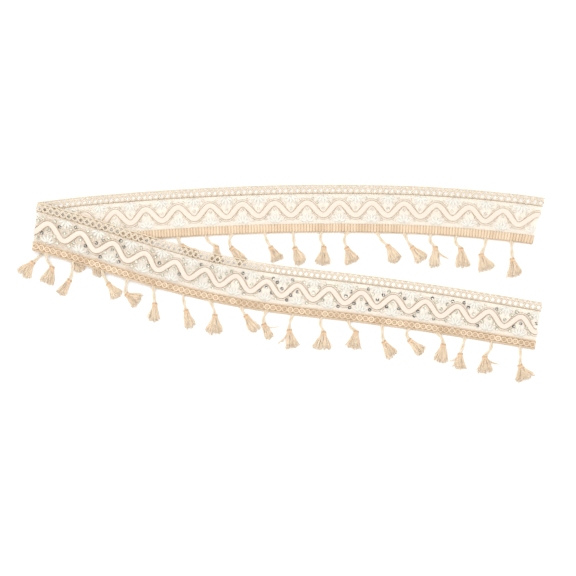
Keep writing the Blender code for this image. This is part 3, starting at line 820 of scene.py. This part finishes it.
@dataclass
class Lace:
    """The lace ribbon: tulle ground, eyelet header, wave tape with its outline cords, fans and sequins.

    A field that ends in half is a thread's half width, and one in half_height its half height. One
    that ends in height is how high a thread's middle lies above the reverse side.
    """

    strip: Strip
    ground_height: float = 0.5 * MM
    ground_rows: int = 22
    under_braid: float = 0.6 * MM
    under_header: float = 0.4 * MM
    column: float = 1.33 * MM
    header_step: float = 0.95 * MM
    header_height: float = 0.55 * MM
    eyelet_swing: float = 2.5 * MM
    crossing_rise: float = 0.1 * MM
    lattice_half: float = 0.8 * MM
    lattice_half_height: float = 0.36 * MM
    thread_half: float = 0.26 * MM
    thread_half_height: float = 0.52 * MM
    small_row: float = FIELD_TOP + 6.6 * MM
    small_swing: float = 1.0 * MM
    small_half: float = 0.3 * MM
    small_half_height: float = 0.32 * MM
    edge_half: float = 0.4 * MM
    shadow_cord_half: float = 0.42 * MM
    shadow_cord_half_height: float = 0.4 * MM
    shadow_cord_at: float = FIELD_TOP + 0.1 * MM
    wave_step: float = 0.8 * MM
    tape_half: float = 2.35 * MM
    tape_half_height: float = 0.45 * MM
    tape_height: float = 0.8 * MM
    tape_squareness: float = 0.6
    outline_offset: float = 2.6 * MM
    outline_half: float = 0.25 * MM
    outline_height: float = 0.55 * MM
    arch_offset: float = 1.6 * MM
    arch_half: float = 0.22 * MM
    fan_length: float = 8.8 * MM
    fan_inset: float = 0.9 * MM
    petal_degrees: tuple = (-62, -31, 0, 31, 62)
    petal_half: float = 1.3 * MM
    petal_start: float = 0.14
    outer_petal_loss: float = 0.18
    fan_height: float = 0.55 * MM
    sequin_height: float = 1.0 * MM
    sequin_from_end: float = 2 * MM
    sequin_slip: float = 0.3 * MM
    sequin_tilt: float = 0.09
    sequin_most_tilt: float = 0.12
    upper_sequins_mm: tuple = ((-9.2, 26.9), (9.2, 26.9), (-5.2, 23.3), (5.2, 23.3), (0.0, 18.6))
    lower_sequins_mm: tuple = ((0.0, 17.3), (-5.6, 13.2), (5.6, 13.2), (-9.0, 8.5), (9.0, 8.5))
    cup_profile_mm: tuple = (
        (0.28, 0.0), (0.62, 0.0), (1.1, 0.2), (1.5, 0.3), (1.5, 0.38), (1.05, 0.3), (0.62, 0.1), (0.28, 0.1),
    )

    def ground(self) -> bpy.types.Object:
        """Lays the tulle between the seam and the header.

        Returns:
            The tulle.
        """
        lengths = lengths_every(self.column)
        across = np.linspace(SEAM - self.under_braid, FIELD_TOP + self.under_header, self.ground_rows)
        grid = self.strip.slanted(lengths[None, :], across[:, None], self.ground_height)
        number = np.arange(grid[..., 0].size).reshape(grid.shape[:2])
        faces = np.stack([number[:-1, :-1], number[:-1, 1:], number[1:, 1:], number[1:, :-1]], axis=-1)
        stock = Threads()
        stock.add(grid, faces, grid.reshape(-1, 3)[faces][..., :2], np.full(grid.shape[:2], 0.5))
        return stock.finished("tulle_ground", [NetFinish().material()], self.strip)

    def header(self) -> bpy.types.Object:
        """Makes the header's eyelets of crossing threads, with a straight edge cord along the top and a tan
        cord along the bottom that is painted shadow of the header's lower edge.

        Returns:
            The header.
        """
        stock = Threads()
        lengths = lengths_every(self.header_step)
        turn = math.pi * lengths / EYELET_PITCH
        for sign in (1, -1):
            large = EYELET_ROW + sign * self.eyelet_swing * np.sin(turn)
            small = self.small_row + sign * self.small_swing * np.cos(turn)
            height = self.header_height + self.crossing_rise * sign * np.cos(turn)
            crossing = self.strip.slanted(lengths, large, height)
            finer = self.strip.slanted(lengths, small, height)
            stock.sweep(crossing, self.lattice_half, self.lattice_half_height, tones=0.95)
            # Painted shade: a narrow, taller thread on each crossing line takes the tan cotton, darkening the
            # lattice where its raised threads are shaded.
            stock.sweep(crossing, self.thread_half, self.thread_half_height, sides=5, tones=0.45, slot=1)
            stock.sweep(finer, self.small_half, self.small_half_height, tones=0.5)
        top = self.strip.slanted(lengths, HEADER_TOP - self.edge_half, self.header_height)
        stock.sweep(top, self.edge_half, tones=0.45)
        # Painted shadow: a tan cord along the header's lower edge stands in for the edge's shadow.
        shadow_cord = self.strip.slanted(lengths, self.shadow_cord_at, self.header_height)
        stock.sweep(shadow_cord, self.shadow_cord_half, self.shadow_cord_half_height, slot=1)
        cottons = [LACE_COTTON.material(), OUTLINE_AND_SHADE_COTTON.material()]
        return stock.finished("eyelet_header", cottons, self.strip)

    def wave_line(self, offset: np.ndarray | float, height: float) -> np.ndarray:
        """Gives a line that follows the wave at some distance.

        Args:
            offset: how far above the wave's middle line, square to it.
            height: the line's height.

        Returns:
            s, t and h of the line's points.
        """
        lengths = lengths_every(self.wave_step)
        middle = wave_at(lengths)
        slope = np.gradient(middle, lengths)
        lean = np.sqrt(1 + slope**2)
        moved = np.clip(lengths - offset * slope / lean, BACK_END, FRONT_END)
        return self.strip.slanted(moved, middle + offset / lean, height)

    def wave(self) -> list:
        """Makes the satin-stitched wave tape and its outline cords.

        Returns:
            The tape and the cords.
        """
        tape = Threads()
        line = self.wave_line(0.0, self.tape_height)
        tape.sweep(
            line, self.tape_half, self.tape_half_height, sides=12, squareness=self.tape_squareness, tones=0.6
        )
        cords = Threads()
        lengths = lengths_every(self.wave_step)
        crest = 0.5 + 0.5 * np.cos(2 * math.pi * (lengths - WAVE_CREST_AT) / WAVE_PERIOD)
        for sign, bend in ((1, crest), (-1, 1 - crest)):
            near = self.wave_line(sign * self.outline_offset, self.outline_height)
            reach = sign * (self.outline_offset + self.arch_offset * smoothstep(bend))
            far = self.wave_line(reach, self.outline_height)
            cords.sweep(near, self.outline_half, sides=5, tones=0.45)
            cords.sweep(far, self.arch_half, sides=5, tones=0.8)
        return [
            tape.finished("wave_tape", [TAPE_SATIN.material()], self.strip),
            cords.finished("outline_cords", [OUTLINE_AND_SHADE_COTTON.material()], self.strip),
        ]

    def pockets(self) -> list:
        """Finds the pockets above and below the wave.

        Returns:
            For each whole pocket, its middle's length and whether it is an upper one.
        """
        found = []
        first = math.ceil((BACK_END - WAVE_CREST_AT) / WAVE_PERIOD * 2)
        last = math.floor((FRONT_END - WAVE_CREST_AT) / WAVE_PERIOD * 2)
        for pocket in range(first, last + 1):
            found.append((WAVE_CREST_AT + pocket * WAVE_PERIOD / 2, pocket % 2 == 1))
        return found

    def fans(self) -> bpy.types.Object:
        """Sews a fan of five petals into each pocket, from the header down or from the braid up.

        Returns:
            The fans.
        """
        stock = Threads()
        run = np.linspace(0.0, 1.0, 7)
        for middle, upper in self.pockets():
            start = FIELD_TOP - self.fan_inset if upper else SEAM + self.fan_inset
            for degrees in self.petal_degrees:
                way = math.radians(degrees)
                length = self.fan_length * (1 - self.outer_petal_loss * abs(math.sin(way)))
                reach = (self.petal_start + (1 - self.petal_start) * run) * length
                s = middle + reach * math.sin(way)
                t = start + (-1 if upper else 1) * reach * math.cos(way)
                half = self.petal_half * np.sin(math.pi * (0.04 + 0.92 * run)) ** 0.8
                if BACK_END < s.min() and s.max() < FRONT_END:
                    stock.sweep(self.strip.slanted(s, t, self.fan_height), half, half * 0.4, tones=0.6)
        return stock.finished("embroidered_fans", [FAN_SILVER.material()], self.strip)

    def sequins(self) -> bpy.types.Object:
        """Sews five cup sequins into each pocket, in a V.

        Returns:
            The sequins.
        """
        rng = np.random.default_rng(5)
        centres = []
        for middle, upper in self.pockets():
            for ds, t in self.upper_sequins_mm if upper else self.lower_sequins_mm:
                s = middle + ds * MM + rng.normal(0, self.sequin_slip)
                centres.append((s, t * MM + rng.normal(0, self.sequin_slip)))
        first, last = BACK_END + self.sequin_from_end, FRONT_END - self.sequin_from_end
        centres = np.array([c for c in centres if first < c[0] < last])
        placed = self.strip.slanted(centres[:, 0], centres[:, 1], self.sequin_height)
        tilt = rng.normal(0, self.sequin_tilt, (len(placed), 2))
        tilt = np.clip(tilt, -self.sequin_most_tilt, self.sequin_most_tilt)
        turns = np.array([[[1, 0, a], [0, 1, b], [-a, -b, 1]] for a, b in tilt])
        turns /= np.linalg.norm(turns, axis=-1, keepdims=True)
        # This random tone sets each cup's painted reflection, from dark to pale.
        tones = rng.uniform(0, 1, len(placed))
        stock = Threads()
        stock.revolve(placed, np.array(self.cup_profile_mm) * MM, 12, turns, tones)
        return stock.finished("cup_sequins", [SequinFinish().material()], self.strip)


@dataclass
class Braid:
    """The gimp braid: a ribbed band, with a chain of loops on its face, twisted rails and picots.

    Names are as in the lace: half for half widths, and height for a middle above the reverse side.
    """

    strip: Strip
    band_half: float = 3.6 * MM
    band_half_height: float = 0.45 * MM
    band_height: float = 0.85 * MM
    rib_pitch: float = EYELET_PITCH / 2
    rib_half_share: float = 0.49
    rib_half_height: float = 0.5 * MM
    rib_height: float = 0.62 * MM
    rib_arch: float = 0.12 * MM
    loop_half_width: float = 2.15 * MM
    loop_half_length: float = 2.2 * MM
    loop_yarn: float = 0.6 * MM
    loop_yarn_half_height: float = 0.55 * MM
    loop_height: float = 1.5 * MM
    loop_tip: float = 0.12 * MM
    eye_share: float = 0.3
    eye_height: float = 1.35 * MM
    eye_painted_shade: float = 0.3
    rail_at: float = 3.3 * MM
    rail_height: float = 1.45 * MM
    rail_ply: float = 0.42 * MM
    rail_twist: float = 2.6 * MM
    picot_half: float = 0.36 * MM
    picot_height: float = 0.9 * MM
    picot_reach: float = 1.0 * MM

    def band(self) -> bpy.types.Object:
        """Makes the band and the ribs that cross it, which show on the reverse side.

        Returns:
            The band.
        """
        stock = Threads()
        lengths = lengths_every(2.0 * MM)
        core = self.strip.slanted(lengths, 0.0, self.band_height)
        # The band's low tone draws it darker where it shows between the loops: painted shade.
        stock.sweep(core, self.band_half, self.band_half_height, sides=8, tones=0.35)
        ribs = np.arange(BACK_END + self.rib_pitch / 2, FRONT_END, self.rib_pitch)
        across = np.linspace(-1, 1, 7)
        height = self.rib_height - self.rib_arch * (1 - across**2)
        paths = self.strip.slanted(ribs[:, None], across * self.band_half * 1.02, height)
        tones = np.random.default_rng(11).uniform(0.58, 0.72, len(ribs))
        stock.sweep(paths, self.rib_pitch * self.rib_half_share, self.rib_half_height, tones=tones)
        return stock.finished("gimp_band", [GIMP_COTTON.material()], self.strip)

    def chain(self) -> bpy.types.Object:
        """Makes the chain of loops along the face.

        Returns:
            The chain.
        """
        links = np.arange(BACK_END + EYELET_PITCH / 2, FRONT_END, EYELET_PITCH)
        turn = 2 * math.pi * np.arange(16) / 16
        tones = np.random.default_rng(12).uniform(0.65, 0.95, len(links))
        stock = Threads()
        # Each loop has a smaller eye ring inside it, drawn darker: painted shade in the loop's hollow.
        rings = ((1.0, self.loop_height, 0.0), (self.eye_share, self.eye_height, self.eye_painted_shade))
        for share, height, shade in rings:
            s = links[:, None] + share * self.loop_half_length * np.cos(turn)
            t = share * self.loop_half_width * np.sin(turn)
            path = self.strip.slanted(s, t, height + self.loop_tip * np.cos(turn))
            stock.sweep(path, self.loop_yarn, self.loop_yarn_half_height, closed=True, tones=tones - shade)
        return stock.finished("gimp_chain", [GIMP_COTTON.material()], self.strip)

    def rails(self) -> bpy.types.Object:
        """Makes the two-ply rails beside the chain.

        Returns:
            The rails.
        """
        stock = Threads()
        lengths = lengths_every(0.65 * MM)
        turn = 2 * math.pi * lengths / self.rail_twist
        for at in (self.rail_at, -self.rail_at):
            for phase in (0, math.pi):
                t = at + self.rail_ply * 0.8 * np.cos(turn + phase)
                h = self.rail_height + self.rail_ply * 0.5 * np.sin(turn + phase)
                stock.sweep(self.strip.slanted(lengths, t, h), self.rail_ply, sides=5, tones=0.55)
        return stock.finished("gimp_rails", [GIMP_COTTON.material()], self.strip)

    def picots(self) -> bpy.types.Object:
        """Makes the small loops along the braid's lower edge.

        Returns:
            The picots.
        """
        roots = np.arange(BACK_END + self.rib_pitch / 2, FRONT_END, self.rib_pitch)
        turn = np.linspace(0, math.pi, 7)
        s = roots[:, None] + 0.42 * self.rib_pitch * np.cos(turn)
        t = -self.band_half - self.picot_reach * np.sin(turn)
        stock = Threads()
        stock.sweep(self.strip.slanted(s, t, self.picot_height), self.picot_half, sides=5, tones=0.7)
        return stock.finished("picot_edge", [GIMP_COTTON.material()], self.strip)


@dataclass
class TasselMaker:
    """Makes tassels: a two-ply cord, a tied head and a skirt of yarns that spreads on the floor.

    The skirt's yarns fall in locks. Each lock sways a little, each yarn in it waves, and some yarns
    fly out at their ends. u runs from the head along the skirt, and v across it.
    """

    strip: Strip
    strands: int = 170
    locks: int = 7
    strand_half: float = 0.23 * MM
    cord_ply: float = 0.8 * MM
    cord_twist: float = 17.0 * MM
    cord_flatness: float = 0.4
    cord_into_braid: float = 0.5 * MM
    cord_into_head: float = 1.2 * MM
    head_length: float = 3.0 * MM
    shoulder_half: float = 2.5 * MM
    tie_half: float = 2.1 * MM
    tie_thread: float = 0.3 * MM
    tie_pitch: float = 0.55 * MM
    tie_from_neck: float = 1.2 * MM
    tie_slack: float = 0.1 * MM
    spread: float = 0.8 * MM
    lock_sway: float = 0.45 * MM
    yarn_wave: float = 0.12 * MM
    flying_share: float = 0.3
    flying_reach: float = 1.9 * MM
    stray_from: float = 0.88
    # Painted shade near the head: how much darker the yarns are drawn there, and over what length that fades.
    painted_head_shade: float = 0.6
    painted_head_shade_length: float = 5.5 * MM

    def cord(self, stock: Threads, tassel: Tassel) -> tuple[np.ndarray, np.ndarray, float]:
        """Twists the cord from the braid's edge to the head.

        Args:
            stock: takes the cord.
            tassel: where the tassel lies.

        Returns:
            The head's point, the way of the skirt, and its length with the head.
        """
        edge = -BRAID_WIDTH / 2
        root_x = (tassel.root_x - ORIGIN_PX[0]) * PIXEL
        s = self.strip.length_at(tassel.leg, root_x, edge)
        start = self.strip.bend(np.array([s, edge + self.cord_into_braid, BRAID_THICK / 2]))
        head = np.array([*from_photo(tassel.head), HEAD_HALF_HEIGHT])
        tip = np.array([*from_photo(tassel.tip), HEAD_HALF_HEIGHT])
        axis = (tip - head) / np.linalg.norm(tip - head)
        run = head - start
        side = np.array([-run[1], run[0], 0.0]) / np.linalg.norm(run[:2])
        side = side if run[1] < 0 else -side
        share = np.linspace(0, 1, 25)[:, None]
        middle = start + run * share + side * tassel.bow * PIXEL * np.sin(math.pi * share)
        middle[:, 2] = start[2] + run[2] * smoothstep(share[:, 0])
        middle = np.concatenate([middle, [head + axis * self.cord_into_head]])
        along = np.gradient(middle, axis=0)
        along /= np.linalg.norm(along, axis=1)[:, None]
        level = np.stack([-along[:, 1], along[:, 0], np.zeros(len(along))], axis=-1)
        length = np.concatenate([[0], np.cumsum(np.linalg.norm(np.diff(middle, axis=0), axis=1))])
        for phase in (0, math.pi):
            turn = 2 * math.pi * length / self.cord_twist + phase + tassel.root_x
            path = middle + self.cord_ply * np.cos(turn)[:, None] * level
            lifted = path[:, 2] + self.cord_ply * self.cord_flatness * np.sin(turn)
            path[:, 2] = np.maximum(lifted, self.cord_ply)
            stock.sweep(path, self.cord_ply, sides=7, tones=0.6, slot=1)
        return head, axis, float(np.linalg.norm(tip - head))

    def skirt(
        self, stock: Threads, tassel: Tassel, head: np.ndarray, axis: np.ndarray, reach: float, seed: int
    ) -> None:
        """Lays the skirt's yarns, from inside the head to their cut ends.

        Args:
            stock: takes the yarns.
            tassel: where the tassel lies.
            head: the head's point.
            axis: the way of the skirt.
            reach: the skirt's length with the head.
            seed: starts the random draws.
        """
        rng = np.random.default_rng(seed)
        many = self.strands
        side = np.array([axis[1], -axis[0], 0.0])
        run = np.concatenate([[0.0, 0.06], np.linspace(0.2, 1.0, 7)])
        end_half = tassel.width * PIXEL / 2 + self.spread
        first = rng.uniform(-1, 1, many)
        rise = rng.uniform(-1, 1, many) * np.sqrt(1 - first**2)
        lock = np.clip(((first + 1) / 2 * self.locks).astype(int), 0, self.locks - 1)
        middles = (np.arange(self.locks) + 0.5) / self.locks * 2 - 1 + rng.normal(0, 0.05, self.locks)
        last = middles[lock] + rng.normal(0, 0.11, many)
        uneven = rng.uniform(0.78, 1.1, many)
        by_lock = (1 + rng.normal(0, 0.03, self.locks))[lock]
        reach_each = reach * (1.02 - 0.12 * last**2) * uneven * by_lock
        u = run[None, :] * reach_each[:, None]
        past = np.clip((u - self.head_length) / (reach - self.head_length), 0, 1.2)
        neck = self.shoulder_half + (self.tie_half - self.shoulder_half) * smoothstep(u / self.head_length)
        neck = neck * (0.8 + 0.2 * smoothstep(u / (0.7 * MM)))
        wide = neck + (end_half - self.tie_half) * past**0.8
        tall = HEAD_HALF_HEIGHT + (SKIRT_HALF_HEIGHT - HEAD_HALF_HEIGHT) * np.clip(past, 0, 1)
        swing = rng.normal(0, self.lock_sway, self.locks)[lock][:, None]
        sway = swing * np.sin(past * 3.4 + rng.uniform(0, 6, self.locks)[lock][:, None])
        swing = rng.normal(0, self.yarn_wave, (many, 1))
        turns = rng.uniform(2, 7, (many, 1))
        wave = swing * np.sin(past * turns + rng.uniform(0, 6, (many, 1)))
        flying = rng.uniform(0, 1, many) < self.flying_share
        fly = np.where(flying, rng.normal(0, self.flying_reach, many), 0)[:, None] * past**2
        lateral = first[:, None] + (last - first)[:, None] * np.clip(past, 0, 1)
        v = lateral * wide + (sway + wave) * np.minimum(past * 3, 1) + fly
        z = tall + rise[:, None] * (tall - self.strand_half)
        if tassel.stray is not None:
            end = (np.array([*from_photo(tassel.stray), 0.0]) - head) @ np.stack([axis, side], axis=1)
            toward = last * np.sign(end[1])
            loose = toward > np.quantile(toward, self.stray_from)
            bend = np.clip(past, 0, 1)[loose] ** 1.5
            u[loose] += bend * (end[0] - reach * 0.95)
            v[loose] += bend * (end[1] - np.sign(end[1]) * end_half * 0.8)
        points = head + u[..., None] * axis + v[..., None] * side
        points[..., 2] = z
        # Painted light and shade: yarns higher in the skirt are drawn lighter, and all are drawn darker near
        # the tied head; the tone also rises a little towards the cut ends.
        tones = np.clip(rng.normal(0.55, 0.12, many) + 0.1 * rise, 0, 1)[:, None]
        shade = self.painted_head_shade * (1 - smoothstep(u / self.painted_head_shade_length))
        tones = tones + 0.1 * np.clip(past, 0, 1) - shade
        stock.sweep(points, self.strand_half, sides=3, tones=tones)

    def tie(self, stock: Threads, head: np.ndarray, axis: np.ndarray) -> None:
        """Winds the tying thread round the head.

        Args:
            stock: takes the thread.
            head: the head's point.
            axis: the way of the skirt.
        """
        side = np.array([axis[1], -axis[0], 0.0])
        angle = 2 * math.pi * np.arange(16) / 16
        for turn in range(3):
            centre = head + axis * (self.head_length - self.tie_from_neck + turn * self.tie_pitch)
            ring = centre + (self.tie_half + self.tie_slack) * np.cos(angle)[:, None] * side
            ring[:, 2] = HEAD_HALF_HEIGHT * (1 + np.sin(angle))
            ring[:, 2] = np.maximum(ring[:, 2], self.tie_thread)
            # The tying thread's low tone keeps the head dark all round: painted shade.
            stock.sweep(ring, self.tie_thread, sides=5, closed=True, side=axis, tones=0.32)

    def tassel(self, number: int, tassel: Tassel) -> bpy.types.Object:
        """Makes one tassel.

        Args:
            number: its place along the trim, from 1.
            tassel: where it lies.

        Returns:
            The tassel.
        """
        stock = Threads()
        head, axis, reach = self.cord(stock, tassel)
        self.skirt(stock, tassel, head, axis, reach, 100 + number)
        self.tie(stock, head, axis)
        cottons = [TASSEL_COTTON.material(), CORD_COTTON.material()]
        return stock.finished(f"tassel_{number:02d}_yarns", cottons)


@dataclass
class Studio:
    """A plain pale floor, soft even light and a camera straight above."""

    distance: float = 2.0
    sensor: float = 36.0
    floor_size: float = 6.0
    floor_drop: float = 0.15 * MM
    floor_white: str = "fafafa"
    sky_strength: float = 1.28
    panel_size: float = 1.2
    panel_watts: float = 8.0
    panel_at: tuple = (-0.7, 0.9, 1.6)

    def floor(self) -> bpy.types.Object:
        """Lays the floor just under the trim.

        Returns:
            The floor.
        """
        half = self.floor_size / 2
        mesh = bpy.data.meshes.new("floor")
        corners = ((-half, -half), (half, -half), (half, half), (-half, half))
        mesh.from_pydata([(x, y, -self.floor_drop) for x, y in corners], [], [(0, 1, 2, 3)])
        material, _, shader = new_material("floor_paper")
        shader.inputs["Base Color"].default_value = linear(self.floor_white)
        shader.inputs["Roughness"].default_value = 0.9
        shader.inputs["Specular IOR Level"].default_value = 0.1
        mesh.materials.append(material)
        floor = bpy.data.objects.new("floor", mesh)
        bpy.context.scene.collection.objects.link(floor)
        return floor

    def light(self) -> None:
        """Lights the scene from all round and from a large soft panel."""
        world = bpy.data.worlds.new("soft_studio")
        bpy.context.scene.world = world
        world.use_nodes = True
        sky = world.node_tree.nodes["Background"]
        sky.inputs["Color"].default_value = (1.0, 1.0, 1.0, 1.0)
        sky.inputs["Strength"].default_value = self.sky_strength
        lamp = bpy.data.lights.new("soft_panel", "AREA")
        lamp.shape = "DISK"
        lamp.size = self.panel_size
        lamp.energy = self.panel_watts
        panel = bpy.data.objects.new("soft_panel", lamp)
        panel.location = self.panel_at
        panel.rotation_euler = (-Vector(self.panel_at)).to_track_quat("-Z", "Y").to_euler()
        bpy.context.scene.collection.objects.link(panel)

    def camera(self) -> bpy.types.Object:
        """Sets the camera so that its picture's scale and middle are the photograph's.

        Returns:
            The camera.
        """
        lens = bpy.data.cameras.new("camera")
        lens.sensor_width = self.sensor
        lens.lens = self.sensor * self.distance / (IMAGE_SIZE * PIXEL)
        camera = bpy.data.objects.new("camera", lens)
        middle = from_photo((IMAGE_SIZE / 2, IMAGE_SIZE / 2))
        camera.location = (*middle, self.distance)
        bpy.context.scene.collection.objects.link(camera)
        bpy.context.scene.camera = camera
        return camera


def settle(piece: bpy.types.Object, slot: str, nodes: tuple = ()) -> None:
    """Ties a piece to the trim's body.

    Args:
        piece: the piece.
        slot: not used.
        nodes: the solids that it stands for.
    """
    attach(piece, BODY)
    if nodes:
        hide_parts(*nodes)
    log.info("%s: %d faces", piece.name, len(piece.data.polygons))


def main() -> None:
    """Builds the trim, the floor, the light and the camera."""
    studio = Studio()
    studio.floor()
    studio.light()
    studio.camera()
    bpy.context.scene.view_settings.view_transform = "Standard"

    strip = Strip()
    lace = Lace(strip)
    ground = lace.ground()
    settle(ground, "lace", ("lace_ribbon",))
    sewn = [lace.header(), *lace.wave(), lace.fans(), lace.sequins()]
    for piece in sewn:
        settle(piece, "lace")
    braid = Braid(strip)
    band = braid.band()
    settle(band, "braid", ("gimp_braid",))
    trimmings = [braid.chain(), braid.rails(), braid.picots()]
    for piece in trimmings:
        settle(piece, "braid")
    maker = TasselMaker(strip)
    for number, tassel in enumerate(TASSELS, start=1):
        made = maker.tassel(number, tassel)
        settle(made, "tassel", (f"tassel_{number:02d}",))


if __name__ == "__main__":
    main()
